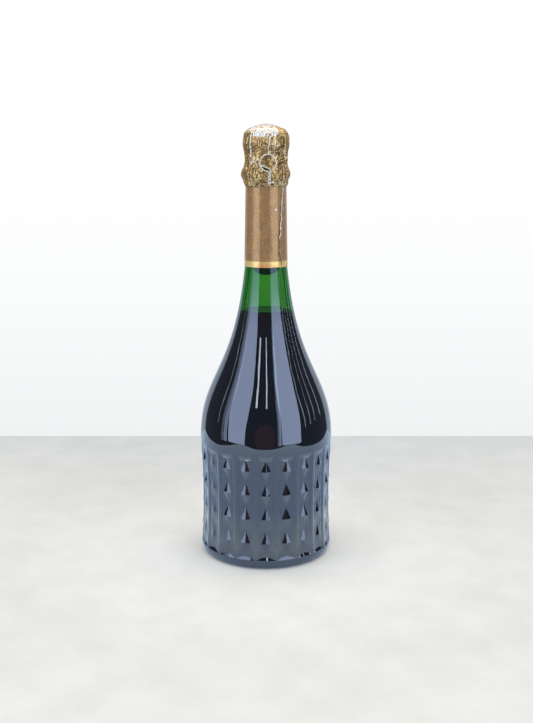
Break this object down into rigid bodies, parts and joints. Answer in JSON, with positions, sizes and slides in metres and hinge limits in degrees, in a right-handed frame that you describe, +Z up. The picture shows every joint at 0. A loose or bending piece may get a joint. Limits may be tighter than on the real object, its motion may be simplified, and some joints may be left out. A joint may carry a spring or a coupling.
{
  "type": "champagne bottle",
  "caption": "Sealed sparkling-wine bottle in dark green glass with a fluted, diamond-cut body, wired cork, foil hood and foil neck sleeve.",
  "frame": {"origin": "centre of the standing ring, on the surface that the bottle stands on", "axes": "+Z up along the bottle's axis, -Y towards the side with the cage's pull loop"},
  "size_m": [0.095, 0.095, 0.3067],
  "materials": {
    "green_glass": "clear, dark green",
    "wine": "clear liquid",
    "granule_cork": "pressed granules",
    "natural_cork": "natural, sanded",
    "tinplate": "lacquered",
    "cage_wire": "drawn, galvanised",
    "hood_foil": "worn gold-brown lacquer",
    "sleeve_foil": "gold-brown lacquer"
  },
  "bodies": {
    "bottle": {"glass_bottle": "green_glass", "wine": "wine", "neck_sleeve": "sleeve_foil"},
    "stopper": {"cork_body": "granule_cork", "cork_disc_upper": "natural_cork", "cork_disc_lower": "natural_cork"},
    "wirehood": {"crown_plate": "tinplate", "wire_cage": "cage_wire", "belt_wire": "cage_wire", "foil_hood": "hood_foil"},
    "twist": {"twist_root": "cage_wire"},
    "loop": {"pull_loop": "cage_wire"}
  },
  "joints": [
    {"name": "cork_pull", "type": "slide", "parent": "bottle", "child": "stopper", "axis": [0, 0, 1], "range_m": [0, 0.035], "deforming": ["wire_cage", "belt_wire", "foil_hood"]},
    {"name": "cage_lift", "type": "slide", "parent": "stopper", "child": "wirehood", "axis": [0, 0, 1], "range_m": [0, 0.045], "deforming": ["wire_cage", "belt_wire", "foil_hood"]},
    {"name": "loop_twist", "type": "hinge", "parent": "wirehood", "child": "twist", "pos_m": [0.0023, -0.0182, 0.2668], "axis": [0, -1, 0], "range_deg": [0, 1080]},
    {"name": "loop_fold", "type": "hinge", "parent": "twist", "child": "loop", "pos_m": [0.0023, -0.0182, 0.2668], "axis": [1, 0, 0], "range_deg": [0, 100]}
  ]
}
